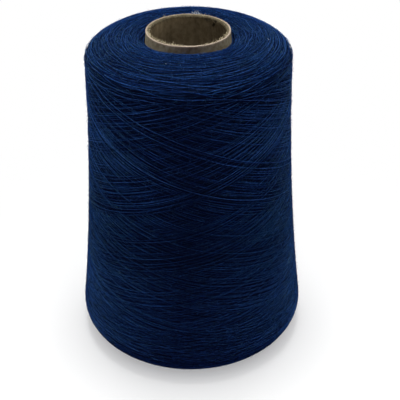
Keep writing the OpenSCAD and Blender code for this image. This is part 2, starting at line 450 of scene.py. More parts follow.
# %% Lay the arcs of the two ends
wound = Wound()
lay_arcs(wound, np.random.default_rng(11), HIGHEST - EDGE_ROOM, DOME_ARCS_TO, DOME_ARCS)
lay_arcs(wound, np.random.default_rng(12), LOWEST + EDGE_ROOM, FOOT_ARCS_TO, FOOT_ARCS)
print("arcs laid:", len(wound.stretches))

# %% [markdown]
# ## Strokes of the side
#
# On the side the thread runs up and down in long slanting strokes. It climbs steeply in the upper half and
# less and less towards the foot. Strokes at even distances would look like a net. So each one ends with a
# short rest, just long enough for the next one to land beside an older stroke of its own direction. That
# makes the bundles and the faint diamonds of a cross-wound cone.

# %% Numbers of the strokes
STROKES = 720
BUNDLES = 24                     # places round the cone where bundles of each direction grow
BESIDE = (5, 12)                 # steps from a strand to the next one of its bundle
CHOICE = 4                       # how many of the nearest bundles the next strand may join
STEEPNESS_SPREAD = 0.05
PATH_POINTS = 400
# How much a stroke climbs for each millimetre that it goes round, at some lengths along the outline.
CLIMB_AT = (-10, 0, 15, 39, 63, 87, 111, 136, 146, 156)
CLIMB = (0.10, 0.12, 0.16, 0.22, 0.27, 0.36, 0.42, 0.33, 0.25, 0.18)
MIDWAY = 80
TURN_EASE = 4.0                  # length over which the climb dies away at a turning point
TOP_TURN = (SHOULDER_END + 11, SHOULDER_END - 3)     # where the first and the last strokes turn
FOOT_TURN = (FOOT_END + 2, FOOT_END + 13)
TURN_SPREAD = 2.2
EARLY_TURN = 25                  # some strokes turn up to this much short of the foot
FEW_EARLY = 3                    # a high power, so few of them turn that early
MEAN_RADIUS = 50                 # of the wound thread, to tell how much of it there is

# %% A stroke and its place beside older ones
def stroke_path(start, end, steepness):
    """Steps and lengths of a stroke between two turning points. Step 0 is where it passes midway."""
    share = (1 - np.cos(np.linspace(0, math.pi, PATH_POINTS))) / 2
    lengths = start + (end - start) * share
    middle = (lengths[1:] + lengths[:-1]) / 2
    to_turn = np.minimum(np.abs(middle - start), np.abs(end - middle))
    climb = np.interp(middle, CLIMB_AT, CLIMB) * np.sqrt(np.minimum(1, to_turn / TURN_EASE))
    turned = np.abs(np.diff(lengths)) / (steepness * climb * outline(middle, SKIN)[0])
    steps = np.concatenate([[0], np.cumsum(turned)]) * ROUND_STEPS / (2 * math.pi)
    way = 1 if end > start else -1
    return steps - np.interp(MIDWAY * way, lengths * way, steps), lengths


def lay_strokes(wound, rng):
    """All strokes in one go, as one unbroken thread. Gives the number of turns."""
    pairs = STROKES // 2 + 1
    top = np.linspace(*TOP_TURN, pairs) + rng.normal(0, TURN_SPREAD, pairs)
    foot = np.linspace(*FOOT_TURN, pairs) + rng.normal(0, TURN_SPREAD, pairs)
    foot = foot + EARLY_TURN * rng.uniform(0, 1, pairs) ** FEW_EARLY
    turning = np.stack([foot, top], axis=1).ravel()
    fronts = np.linspace(0, ROUND_STEPS, BUNDLES, endpoint=False) + [[0], [ROUND_STEPS / BUNDLES / 2]]
    known_steps, known_lengths, ends, now = [], [], [], 0
    for stroke in range(STROKES):
        steps, lengths = stroke_path(turning[stroke], turning[stroke + 1], rng.normal(1, STEEPNESS_SPREAD))
        front = fronts[stroke % 2]
        rests = (front - (now - steps[0])) % ROUND_STEPS
        bundle = int(np.argsort(rests)[rng.integers(CHOICE)])
        known_steps.append(steps - steps[0] + now + rests[bundle])
        known_lengths.append(lengths)
        front[bundle] += rng.uniform(*BESIDE)
        now = known_steps[-1][-1]
        ends.append(now)
    known_steps, known_lengths = np.concatenate(known_steps), np.concatenate(known_lengths)
    starts = np.concatenate([[known_steps[0]], ends]).astype(int)
    for first, last in zip(starts[:-1], starts[1:]):
        steps = np.arange(first, last + 1)
        lengths = np.interp(steps, known_steps, known_lengths)
        fade = np.clip(np.minimum(steps - first, last - steps) / WANDER_STEPS, 0, 1)
        wound.lay(steps, lengths + wandering(steps, rng) * fade)
    return now / ROUND_STEPS

# %% Lay the strokes of the side
arcs_laid = len(wound.stretches)
turns = lay_strokes(wound, np.random.default_rng(13))
wound.even_out()
print("strokes laid:", STROKES, "in turns:", round(turns))
turns_in_all = sum(len(s[0]) for s in wound.stretches) / ROUND_STEPS
print("thread wound, in m:", round(turns_in_all * 2 * math.pi * MEAN_RADIUS * MM))

# %% [markdown]
# ## From paths to tubes
#
# Each stretch becomes a thin tube. A ring of points goes round the path every few degrees, in the plane
# between the surface's normal and the thread's own sideways direction, and is a little flattened, because a
# wound thread is. Far fewer rings than grid steps are needed, and a stretch that later turns hide is left
# out.

# %% Numbers of the tubes and their shade
TUBE_SIDES = 5
RING_EVERY = 10          # grid steps from one ring of points to the next
FLATTEN = 0.86           # height of a tube as a share of its width
HIDDEN = 0.66            # thread whose middle lies further under the surface than this is left out
# Thread is darkened by its depth, as painted shade.
SHADED = 0.45            # depth at which thread lies fully in the shade of the turns above it
PROUD = 0.0              # no thread's middle stands further out of the surface than this
LAY_PITCH = 1.1          # length of one twist of the thread's plies
FEW_PALE = 1.5           # more strands are dark than pale
STRIP_MARGIN = 0.05      # gap beside each tube's strip in the map for baking, as a share of the strip's width
# Painted shade: share of its colour that the deepest thread keeps. Towards the foot it is more than one,
# a painted fill light that stands for light from the floor filling the gaps.
IN_SHADE_AT = (0, 30, 55, 90)
IN_SHADE = (2.4, 1.7, 0.65, 0.2)
# Painted light along the outline, on all thread. It is full on the upper side and the dome, and less than
# half at the tight foot.
PAINTED_LIGHT_AT = (FOOT_END, 10, 60, 110, SIDE_END - 6, SHOULDER_END + 2, DOME_END)
PAINTED_LIGHT = (0.46, 0.35, 0.53, 1.1, 0.95, 0.88, 1.0)

# %% Rings of points along a path
def place_on(steps, lengths, heights):
    """Points and outward normals in millimetres."""
    across, up, tilt = outline(lengths, heights)
    up = up - gully(steps, lengths)
    angle = steps * (2 * math.pi / ROUND_STEPS)
    points = np.stack([across * np.cos(angle), across * np.sin(angle), up], axis=1)
    normals = np.stack([np.cos(tilt) * np.cos(angle), np.cos(tilt) * np.sin(angle), np.sin(tilt)], axis=1)
    return points, normals


def unit(rows):
    """Each row as an arrow of length one."""
    return rows / np.linalg.norm(rows, axis=1, keepdims=True)


def rings_round(points, normals, radius, flatten, sides):
    """A ring of points about each point of a path."""
    ahead = unit(np.gradient(points, axis=0))
    sideways = unit(np.cross(ahead, normals))
    up = np.cross(sideways, ahead)
    turn = np.arange(sides) * (2 * math.pi / sides) + math.pi / 2
    radius = np.broadcast_to(np.asarray(radius, float), len(points))[:, None, None]
    cosine, sine = np.cos(turn)[None, :, None], np.sin(turn)[None, :, None]
    return points[:, None] + radius * (cosine * sideways[:, None] + flatten * sine * up[:, None])

# %% Faces of a tube, and many tubes in one piece
def tube_faces(first, count, sides):
    """Corner numbers of a closed tube of count rings whose first point has the number first."""
    rings = first + np.arange(count - 1)[:, None] * sides
    near = rings + np.arange(sides)[None]
    far = rings + (np.arange(sides) + 1)[None] % sides
    walls = np.stack([near, far, far + sides, near + sides], axis=2).reshape(-1, 4)
    fan = np.arange(1, sides - 1)
    last = first + (count - 1) * sides
    caps = np.concatenate([
        np.stack([np.full(len(fan), first), first + fan + 1, first + fan], axis=1),
        np.stack([np.full(len(fan), last), last + fan, last + fan + 1], axis=1)])
    return walls, caps


def add_tubes(name, paths, material, sides=TUBE_SIDES):
    """One piece of many tubes. A path is points, normals, radius, flattening, tone and painted light and
    shade.
    """
    points, walls, caps, tones, painted_lights_and_shades, runs, rounds, rows = [], [], [], [], [], [], [], []
    first = 0
    for number, (path, normals, radius, flatten, tone, light_and_shade) in enumerate(paths):
        points.append(rings_round(path, normals, radius, flatten, sides).reshape(-1, 3))
        wall, cap = tube_faces(first, len(path), sides)
        walls.append(wall)
        caps.append(cap)
        tones.append(np.full(len(path) * sides, tone))
        painted_lights_and_shades.append(np.repeat(light_and_shade, sides))
        run = np.concatenate([[0], np.cumsum(np.linalg.norm(np.diff(path, axis=0), axis=1))])
        here, side = np.meshgrid(run[:-1], np.arange(sides), indexing="ij")
        ahead = np.meshgrid(run[1:], np.arange(sides), indexing="ij")[0]
        runs.append(np.stack([here, here, ahead, ahead], axis=2).reshape(-1, 4))
        rounds.append(np.stack([side, side + 1, side + 1, side], axis=2).reshape(-1, 4))
        rows.append(np.full(len(wall), number))
        first += len(path) * sides
    faces = [np.concatenate(walls), np.concatenate(caps)]
    piece = add_piece(name, np.concatenate(points), faces, material)
    add_number(piece, "tone", np.concatenate(tones))
    add_number(piece, "painted_light_and_shade", np.concatenate(painted_lights_and_shades))
    run, turn, row = np.concatenate(runs), np.concatenate(rounds), np.concatenate(rows)[:, None]
    cap_corners = 3 * sum(len(c) for c in caps)
    lay = np.stack([run / LAY_PITCH, turn / sides], axis=2).reshape(-1, 2)
    add_map(piece, "lay", np.concatenate([lay, np.zeros((cap_corners, 2))]))
    strip = (row + STRIP_MARGIN + (1 - 2 * STRIP_MARGIN) * turn / sides) / len(paths)
    strip = np.stack([run / run.max(), strip], axis=2).reshape(-1, 2)
    add_map(piece, "OFBake", np.concatenate([strip, np.zeros((cap_corners, 2))]))
    return piece

# %% Keep what can be seen
def visible_runs(seen):
    """First and last numbers of the runs of True, each grown by one at both ends."""
    grown = seen.copy()
    grown[1:] |= seen[:-1]
    grown[:-1] |= seen[1:]
    edges = np.flatnonzero(np.diff(np.concatenate([[False], grown, [False]]).astype(int)))
    return [(a, b) for a, b in zip(edges[::2], edges[1::2]) if b - a > 1]


def thread_paths(wound, chosen, rng):
    """Tube paths of the chosen stretches, with what later turns hide left out."""
    paths = []
    for steps, lengths, heights in chosen:
        keep = np.unique(np.append(np.arange(0, len(steps), RING_EVERY), len(steps) - 1))
        above = np.minimum(wound.depths(steps, lengths, heights)[keep], PROUD)
        points, normals = place_on(steps[keep], lengths[keep], SKIN + above)
        tone = rng.uniform(0, 1) ** FEW_PALE
        # Painted shade by depth under the finished surface, times the painted light along the outline.
        in_shade = np.interp(lengths[keep], IN_SHADE_AT, IN_SHADE)
        painted_light_and_shade = in_shade + (1 - in_shade) * np.clip(1 + above / SHADED, 0, 1)
        painted_light_and_shade = painted_light_and_shade * np.interp(lengths[keep], PAINTED_LIGHT_AT, PAINTED_LIGHT)
        for first, last in visible_runs(above > -HIDDEN):
            run = slice(first, last)
            paths.append((points[run], normals[run], THREAD / 2, FLATTEN, tone, painted_light_and_shade[run]))
    return paths


# %% [markdown]
# ## Finish of the thread
#
# The thread is a dull, dark navy spun thread. Each stretch is a touch lighter or darker than the next, and
# its twisted plies show as fine slanting ridges. It has almost no mirror-like shine, so the specular level
# is close to zero, and a weak sheen stands for the fuzz that catches light at the edges.
#
# Strands that lie deep are darkened by a number that is stored with the mesh: painted shade. The same number
# also holds painted light along the outline, lighter on the upper side and the dome and darker at the foot.
# Light that does get between them comes back from blue fibre again and again and loses most of its red, so
# in the painted shade their colour is a purer blue. Both could be left to bounced light, but the numbers cost
# no time and hold in any light.

# %% Thread finishes
SLUB = 1.3               # length over which a strand goes from thick and pale to thin and dark
NAVY_DARK = colour(12, 29, 77)
NAVY_LIGHT = colour(35, 62, 122)
# These shares make the navy in painted shade, a purer blue that deep strands take.
RED_LEFT = 0.3           # share of its red that the light keeps between closely packed strands
GREEN_LEFT = 0.9         # and of its green


# The navy in painted shade: less red and green.
def navy_in_painted_shade(navy):
    red, green, blue = navy[:3]
    return (red * RED_LEFT, green * GREEN_LEFT, blue, 1)


def thread_finish(name, dark, light):
    finish = Finish(name, Roughness=0.8, Specular_IOR_Level=0.01, Sheen_Weight=0.17, Sheen_Roughness=0.22,
                    Sheen_Tint=colour(150, 205, 200))
    tone = finish.node("ShaderNodeAttribute", {"attribute_name": "tone"}, output="Fac")
    lay = finish.node("ShaderNodeUVMap", {"uv_map": "lay"})
    parts = finish.node("ShaderNodeSeparateXYZ", None, {"Vector": lay})
    across = Value(finish, parts.socket.node.outputs["Y"])
    twist = ((parts + across * 2) * (2 * math.pi)).sine()
    hairy = finish.noise(1100, 3, 0.65)
    cloudy = finish.noise(60, 3)
    strand = finish.node("ShaderNodeCombineXYZ", None, {"X": parts * (LAY_PITCH / SLUB), "Y": tone * 1000})
    slubs = finish.noise(1, 2, 0.6, strand).between(0.32, 0.68)
    light_and_shade = finish.node("ShaderNodeAttribute", {"attribute_name": "painted_light_and_shade"}, output="Fac")
    # The factors say how strongly each pattern changes the brightness.
    shade = 0.05 + 0.1 * twist + 0.3 * cloudy + 0.6 * hairy + 1.05 * slubs
    # Painted shade: deep strands take the navy in painted shade, and the stored painted light and shade
    # scales all.
    inner = finish.mix(tone, navy_in_painted_shade(dark), navy_in_painted_shade(light))
    base = finish.tint(finish.mix(light_and_shade, inner, finish.mix(tone, dark, light)), shade * light_and_shade)
    return finish.use(Base_Color=base, Normal=finish.bump(twist + 3 * hairy, 0.04 * MM, 0.6))


thread_material = thread_finish("navy_thread", NAVY_DARK, NAVY_LIGHT)
# The thread below in painted shade: the same navy, much darker.
deep = Finish("navy_thread_in_painted_shade", Roughness=0.9, Specular_IOR_Level=0.01)
deep_ridges = deep.noise(900, 2, 0.6, deep.stretched(1, 4))
deep_material = deep.use(Base_Color=deep.mix(deep_ridges, colour(4, 9, 24), colour(10, 20, 48)),
                         Normal=deep.bump(deep_ridges, 0.2 * MM))

# %% [markdown]
# ## The thread as pieces
#
# The strands that are left are added as a few pieces of about the same size. One mesh of them all would be
# slow to edit and to export, and thousands of small ones slower still. The strands of the side take the
# place of the measured solid of the outer thread. Those of the dome and the foot are extra.

# %% Add the wound thread
FACES_A_PIECE = 190000           # about the most faces that one piece of thread gets
thread_rng = np.random.default_rng(21)
end_paths = thread_paths(wound, wound.stretches[:arcs_laid], thread_rng)
side_paths = thread_paths(wound, wound.stretches[arcs_laid:], thread_rng)


def add_thread(name, paths):
    pieces, start, faces = [], 0, 0
    for number, path in enumerate(paths):
        faces += len(path[0]) * TUBE_SIDES * 2
        if faces > FACES_A_PIECE or number == len(paths) - 1:
            pieces.append(add_tubes(f"{name}_{len(pieces) + 1}", paths[start:number + 1], thread_material))
            start, faces = number + 1, 0
    return pieces


end_threads = add_thread("end_thread", end_paths)
side_threads = add_thread("side_thread", side_paths)
for piece in side_threads:
    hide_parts("outer_thread")
print("stretches kept:", len(end_paths), len(side_paths), "pieces:", len(end_threads), len(side_threads),
      "faces:", sum(len(p.data.polygons) for p in end_threads + side_threads))

# %% [markdown]
# ## Fuzz
#
# Spun thread is hairy: short ends of fibre stand out of it everywhere. One by one they are too thin to be
# noticed, but together they take the edge off every strand. A hair system would do it too, but hairs don't
# export as a mesh, so each fibre is a tiny bent tube with both ends sunk in.

# %% Numbers of the fuzz
FIBRES = 5000
FIBRE = 0.04             # thickness of a fibre
FIBRE_LENGTH = (1.2, 3.5)
FIBRE_BEND = 0.35        # spread of its sideways bend, as a share of half its length
FIBRE_FOOT = 0.2         # height above the surface from which a fibre rises
FIBRE_LIFT = (0.0, 0.35)     # and by how much its middle rises
FIBRE_TUCK = 0.1         # how far its two ends are sunk again
FIBRE_POINTS = 6

# %% Paths of the fibres
def fibre_paths(rng):
    paths = []
    share = np.linspace(-1, 1, FIBRE_POINTS)
    for _ in range(FIBRES):
        length = rng.uniform(FOOT_END, HIGHEST)
        step = rng.uniform(0, ROUND_STEPS)
        heading = rng.uniform(0, 2 * math.pi)
        half = rng.uniform(*FIBRE_LENGTH) / 2
        bend = rng.normal(0, FIBRE_BEND) * half * share ** 2
        ahead = math.cos(heading) * half * share - math.sin(heading) * bend
        aside = math.sin(heading) * half * share + math.cos(heading) * bend
        across = outline(length, SKIN)[0]
        steps = step + ahead / across * ROUND_STEPS / (2 * math.pi)
        lengths = np.clip(length + aside, FOOT_END, HIGHEST)
        lift = rng.uniform(*FIBRE_LIFT)
        heights = SKIN + FIBRE_FOOT + lift * (1 - share ** 2) - FIBRE_TUCK * share ** 2
        points, normals = place_on(steps, lengths, heights)
        paths.append((points, normals, FIBRE / 2, 1, rng.uniform(0, 1), np.ones(FIBRE_POINTS)))
    return paths

# %% Add the fuzz
fuzz_material = thread_finish("navy_fuzz", NAVY_LIGHT, colour(48, 80, 132))
fibres = fibre_paths(np.random.default_rng(41))
fuzz = add_tubes("thread_fuzz", fibres, fuzz_material, sides=3)
print("fibres:", FIBRES, "faces:", len(fuzz.data.polygons))

# %% [markdown]
# ## The mass under the outer turns
#
# Between the outer turns one looks a little way into the thread below. A closed body of revolution just
# under them fills those gaps. It is the same navy painted much darker, as painted shade. Winding more thread
# below would cost millions of faces that nobody sees. The body has the cone's own bore, so it is a ring and
# not a ball.

# %% Taper of the cone
TAPER = math.tan(math.radians(4.333))    # the cone narrows by this much for each millimetre of its length
NOSE_RADIUS = 20.0

# %% Rings round the axis
def cone_radius(z):
    return NOSE_RADIUS + (CONE_LENGTH - z) * TAPER


def ring_faces(count, segments):
    """Faces of a closed ring: count rows of a closed section, each with so many segments round."""
    row = np.arange(count)[:, None] * segments
    next_row = (np.arange(count)[:, None] + 1) % count * segments
    here = np.arange(segments)[None]
    ahead = (here + 1) % segments
    return np.stack([row + here, row + ahead, next_row + ahead, next_row + here], axis=2).reshape(-1, 4)


def revolved(radii, heights, angles):
    """Points of a section turned round the axis. radii and heights have a row for each of its points."""
    radii, heights = np.broadcast_arrays(radii, heights, np.zeros(len(angles)))[:2]
    return np.stack([radii * np.cos(angles), radii * np.sin(angles), heights], axis=2).reshape(-1, 3)

# %% Add the mass
BELOW = 0.7              # depth of the mass under the thread's surface
MASS_STEP = 3            # grid steps from one of its points to the next one round the cone
MASS_ROWS, BORE_ROWS = 150, 12
BORE_GAP = 0.1           # gap between the mass and the paper

mass_steps = np.arange(0, ROUND_STEPS, MASS_STEP)
mass_lengths = np.linspace(LOWEST, HIGHEST, MASS_ROWS)[:, None]
mass_r, mass_z, _ = outline(mass_lengths, SKIN - BELOW)
mass_z = mass_z - gully(mass_steps, mass_lengths)
bore_z = np.linspace(mass_z[-1], mass_z[0], BORE_ROWS)
mass_radii = np.concatenate([mass_r + 0 * mass_z, cone_radius(bore_z) + BORE_GAP])
mass_heights = np.concatenate([mass_z, bore_z])
mass_angles = mass_steps * (2 * math.pi / ROUND_STEPS)
mass_faces = ring_faces(len(mass_radii), len(mass_angles))
mass_points = revolved(mass_radii, mass_heights, mass_angles)
wound_mass = add_piece("wound_mass", mass_points, [mass_faces], deep_material)
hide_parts("wound_body")
print("mass faces:", len(mass_faces))

# %% [markdown]
# ## The paper cone
#
# The cone is a long sheet of grey board rolled round a mandrel, glued, and sawn off at its nose. The saw
# leaves a rough, pale rim in which the plies can be told apart. The outer ply keeps a smooth lip. The middle
# is coarse and grainy. The inner ply is frayed, and at the back it has torn away and left a ragged notch and
# a slit.
#
# Each ply is a closed ring. Its rim is worn down by random amounts, which are smooth along the rim by more
# or less, so the same function makes a clean lip and a frayed edge.

# %% Numbers of the plies
PLY_STEPS = 720
ply_angles = np.arange(PLY_STEPS) * (2 * math.pi / PLY_STEPS)
# Rows of points on a wall, as shares of its height. They lie closer together towards the rim.
WALL_ROWS = np.array([0, 0.04, 0.2, 0.4, 0.6, 0.75, 0.85, 0.92,
                      0.955, 0.97, 0.98, 0.985, 0.99, 0.9935, 0.997])
# Rows of points across the cut, from the outer wall to the inner one, and how far each is lowered so that the
# two edges are round.
RIM_SHARES = np.array([0, 0.05, 0.15, 0.27, 0.39, 0.51, 0.63, 0.75, 0.87, 0.95, 1])
EDGE_ROUND = np.array([0.16, 0.05, 0, 0, 0, 0, 0, 0, 0, 0.05, 0.16])
COVER_DEPTH, COVER_THICK = 0.0, 0.5      # depth of a ply's outer wall in the cone, and its thickness
BOARD_DEPTH, BOARD_THICK = 0.55, 1.3
LINER_DEPTH, LINER_THICK = 1.9, 0.5
WALL_THICK = LINER_DEPTH + LINER_THICK
SLIT_DEPTH = 0.42        # how far the torn liner is pushed back
CUT_DARKNESS = 0.45        # how near the darkened part of the cut comes to the dark brown

# %% Ripples and humps round the rim
def ripple(rng, reach):
    """Random numbers round the rim that change smoothly over reach steps, with a spread of one."""
    values = smoothed(rng.normal(size=PLY_STEPS), reach, "wrap")
    return values / values.std()


def around(middle, half_width):
    """A soft hump round the rim, 1 at an angle in degrees and 0 half_width away from it."""
    away = np.abs((np.degrees(ply_angles) - middle + 180) % 360 - 180)
    return np.clip(1 - away / half_width, 0, 1) ** 0.5

# %% A ply as a closed ring
def add_ply(name, node, material, depth, thickness, top, wear, recess, darkened):
    """wear(share) is how far the rim is worn down, recess(height) how far the inner wall is pushed out, and
    darkened(share) how far the rim's pale cut goes towards dark brown. The slit gets that brown as painted
    shade."""
    rim = np.array([top - wear(share) - drop for share, drop in zip(RIM_SHARES, EDGE_ROUND)])
    outside = WALL_ROWS[:, None] * rim[0]
    inside = WALL_ROWS[::-1, None] * rim[-1]
    heights = np.concatenate([outside, rim, inside])
    shares = np.concatenate([0 * WALL_ROWS, RIM_SHARES, 0 * WALL_ROWS + 1])[:, None]
    pushed = (shares == 1) * np.array([recess(row) for row in heights])
    radii = cone_radius(heights) - depth - shares * thickness + pushed
    piece = add_piece(name, revolved(radii, heights, ply_angles),
                      [ring_faces(len(heights), PLY_STEPS)[:, ::-1]], material)
    rim_rows = slice(len(WALL_ROWS), len(WALL_ROWS) + len(RIM_SHARES))
    cut_darkening = np.array([darkened(share) for share in RIM_SHARES])
    # Painted shade in the slit, where the inner wall is pushed back; on the rim, the darkening of the cut.
    cut, shade_and_darkening = np.zeros(heights.shape), np.clip(2 * pushed / SLIT_DEPTH, 0, 1)
    cut[rim_rows] = 1 - cut_darkening
    shade_and_darkening[rim_rows] = CUT_DARKNESS * cut_darkening
    add_number(piece, "cut", cut.ravel())
    add_number(piece, "inward", ((depth + shares * thickness) / WALL_THICK + 0 * heights).ravel())
    add_number(piece, "shade_and_darkening", shade_and_darkening.ravel())
    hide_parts(node)
    return piece


# %% [markdown]
# ## Finish of the paper
#
# Grey board is made from waste paper, so it is never one colour. Blotches a millimetre or two across, fine
# specks and streaks along the cone are each a noise at its own scale. The cut rim is paler and rougher than
# the rolled faces, so a mask that is stored with the mesh mixes two colours. A second stored mask mixes in a
# dark brown: painted shade in the slit and the notch, and darker parts of the cut away from the front and
# along the frayed stretches.

# %% Paper finishes
LIP_TAN = colour(117, 104, 99)
GRAIN_PALE, GRAIN_DARK = colour(121, 112, 107), colour(64, 56, 49)
# Dark brown of the painted shade in the slit and the notch; the darker parts of the cut go towards it too.
SHADE_BROWN = colour(26, 18, 9)


def paper_finish(name, face, patch, streak):
    finish = Finish(name, Roughness=0.9, Specular_IOR_Level=0.12)
    stored = {number: finish.node("ShaderNodeAttribute", {"attribute_name": number}, output="Fac")
              for number in ("cut", "inward", "shade_and_darkening")}
    blotches = finish.noise(520, 4, 0.65, finish.stretched(1, 0.7)).between(0.38, 0.64)
    streaks = finish.noise(600, 3, 0.6, finish.stretched(1, 1 / streak))
    specks = finish.noise(2600, 2, 0.7)
    grain = finish.noise(1500, 3, 0.7)
    rolled = finish.tint(finish.mix(blotches, face, patch), 0.5 + 0.4 * streaks + 0.6 * specks)
    grainy = finish.mix(grain.between(0.42, 0.6), GRAIN_PALE, GRAIN_DARK)
    sawn = finish.mix(stored["inward"].between(0.35, 0.6), LIP_TAN, grainy)
    both = finish.mix(stored["cut"], rolled, finish.tint(sawn, 0.7 + 0.6 * specks))
    rough = specks + grain * stored["cut"]
    # The stored mask mixes in dark brown: painted shade in the slit and the notch, and the darker parts of
    # the cut.
    return finish.use(Base_Color=finish.mix(stored["shade_and_darkening"], both, SHADE_BROWN),
                      Normal=finish.bump(rough, 0.12 * MM, 0.7))


cover_material = paper_finish("grey_brown_paper", colour(90, 84, 77), colour(74, 65, 55), 1.5)
board_material = paper_finish("raw_board", colour(87, 79, 67), colour(67, 58, 47), 2)
liner_material = paper_finish("brown_liner_paper", colour(130, 115, 90), colour(112, 98, 74), 1.5)

# %% [markdown]
# ## Wear of the rim
#
# The saw cuts all three plies at once, but they wear in different ways. The outer ply only chips. The board
# crumbles on its inner half, where a groove has opened. The liner frays and tears. A bump in the material
# would leave the rim's own outline straight, so each ply has a function that lowers its rim in the mesh.
# Soft humps say where round the rim it is worn, and ripples make it uneven.

# %% Where the rim is worn
wear_rng = np.random.default_rng(31)
REAR_WEAR = around(95, 75)                     # the back of the rim is worn down towards the bore
SIDE_WEAR = np.maximum(around(335, 70), 0.6 * around(185, 60))      # so is its inner edge at both sides
FRAYED = np.maximum(around(205, 62), around(318, 30))
AWAY_FROM_FRONT = 1 - around(268, 80)                    # away from the front, the inner half of the cut is darker
TORN = np.maximum(around(60, 6), 0.8 * around(45, 5))
SLIT_TOP, SLIT_FOOT = (42.3, 169.6), (48.3, 166.2)     # angle in degrees and height of the slit's ends
SLIT_WIDTH = 2.6         # half of its width, in degrees
BOARD_GIVES = 0.6        # share of the slit's depth that the board behind it gives way

cover_wave, cover_chips = ripple(wear_rng, 25), np.clip(ripple(wear_rng, 2) - 1.9, 0, 1)
board_grain = [ripple(wear_rng, 1) for _ in RIM_SHARES]
board_wave = ripple(wear_rng, 12)
liner_fray, liner_wave = ripple(wear_rng, 1), ripple(wear_rng, 9)


# %% How far the rim of each ply is worn down
# share is 0 at the outer wall of the ply and 1 at its inner one. Each term is a depth in millimetres, and
# most are multiplied by a hump or a ripple.
def cover_wear(share):
    return 0.05 + 0.025 * cover_wave + 0.12 * cover_chips + 0.03 * share


def board_wear(share):
    grain = board_grain[int(np.argmin(np.abs(RIM_SHARES - share)))]
    inner = np.clip((share - 0.35) * 3, 0, 1)
    coarse = (0.03 + 0.16 * FRAYED * inner) * grain
    groove = 0.3 * FRAYED * max(0, 1 - abs(share - 0.42) / 0.1)
    worn = 0.9 * REAR_WEAR * share ** 2 + 0.9 * SIDE_WEAR * np.clip((share - 0.4) * 2.5, 0, 1)
    return np.clip(0.12 + coarse + 0.04 * board_wave + groove + worn, 0.02, 3)


def liner_wear(share):
    frayed = (0.08 + 0.22 * FRAYED + 0.1 * REAR_WEAR) * liner_fray
    worn = 0.75 * REAR_WEAR + 1.1 * SIDE_WEAR + 0.2 * FRAYED + 1.5 * TORN
    return np.clip(0.4 + frayed + 0.12 * liner_wave + worn, 0.05, 4)

# %% The slit in the liner
def liner_recess(heights):
    """The slit: a slanting line along which the liner has split and been pushed back."""
    down = (SLIT_TOP[1] - heights) / (SLIT_TOP[1] - SLIT_FOOT[1])
    middle = SLIT_TOP[0] + (SLIT_FOOT[0] - SLIT_TOP[0]) * down
    away = np.abs((np.degrees(ply_angles) - middle + 180) % 360 - 180)
    near = np.clip(1 - away / SLIT_WIDTH, 0, 1)
    inside = near * np.clip(down + 0.3, 0, 1) * np.clip((1.15 - down) * 5, 0, 1)
    return SLIT_DEPTH * np.sqrt(inside) + 0.03 * liner_wave


def board_recess(heights):
    return BOARD_GIVES * liner_recess(heights)


def flat_wall(heights):
    return 0 * heights

# %% How dark the cut of each ply is
def cover_darkened(share):
    return 0.5 * REAR_WEAR


def board_darkened(share):
    return np.clip(AWAY_FROM_FRONT + FRAYED, 0, 1) * np.clip((share - 0.1) * 4, 0, 1)


# Darker away from the front and along the frayed stretches, with painted shade at the notch where the liner
# tore.
def liner_darkened(share):
    return np.clip(AWAY_FROM_FRONT + FRAYED + TORN, 0, 1)


# %% Add the plies
cone_cover = add_ply("cone_cover_paper", "cone_cover", cover_material,
                     COVER_DEPTH, COVER_THICK, CONE_LENGTH, cover_wear, flat_wall, cover_darkened)
cone_board = add_ply("cone_board_paper", "cone_board", board_material,
                     BOARD_DEPTH, BOARD_THICK, CONE_LENGTH, board_wear, board_recess, board_darkened)
cone_liner = add_ply("cone_liner_paper", "cone_liner", liner_material,
                     LINER_DEPTH, LINER_THICK, CONE_LENGTH, liner_wear, liner_recess, liner_darkened)
print("plies of the cone:", [len(p.data.polygons) for p in (cone_cover, cone_board, cone_liner)], "faces")

# %% [markdown]
# ## Crumbs, fibres and lint
#
# A sawn paper edge is never clean. Crumbs and fibre ends hang on its frayed stretches, and a few longer
# burrs stand up at the back. Two white specks of lint have settled on the dome. Painted ones would vanish at
# the outline, where they are seen best, so all of them are small bent tubes, thick and short for a crumb,
# thin and long for a fibre.

# %% Numbers of the crumbs, fibres and lint
CRUMBS = 120
CRUMB = (0.12, 0.25)             # radius at the foot of a crumb
CRUMB_LENGTH = (0.3, 0.8)
CRUMBS_BETWEEN = (0.3, 0.72)     # where they hang, as shares of the wall's thickness
RIM_FIBRES = 170
RIM_FIBRE = (0.03, 0.05)
RIM_FIBRE_LENGTH = (0.5, 1.3)
RIM_FIBRES_BETWEEN = (0.1, 0.8)
STRAY = 0.06                     # chance that a bit hangs where the rim isn't frayed
ROOTED = 0.15                    # the bits start this far below the rim
BIT_POINTS = 6
BIT_BEND = 0.45                  # spread of the bend of a bit, as a share of its length
BIT_TIP = 0.1                    # its thickness at its tip, as a share of that at its foot
BURR_SCATTER = 1.2               # spread of a tuft's fibres round the rim, in degrees
# Angle in degrees, distance from the axis, number of fibres, their length and their radius.
BURRS = [(126.5, 20.0, 5, 1.0, 0.07), (66.8, 17.9, 6, 1.6, 0.10), (56, 18.0, 4, 1.0, 0.08)]
WHITE_BURRS = [(79.9, 20.3, 9, 1.8, 0.07), (74, 20.2, 5, 0.9, 0.06)]
# Angle in degrees and distance from the axis of the specks on the dome, and what each of them is made of.
LINT = [(-106.1, 34.4), (-8.1, 37.7)]
LINT_FIBRES, LINT_LENGTH, LINT_THICK = 3, (0.4, 0.7), 0.05
LINT_LIFT = 0.2                  # height of a speck above the thread's surface

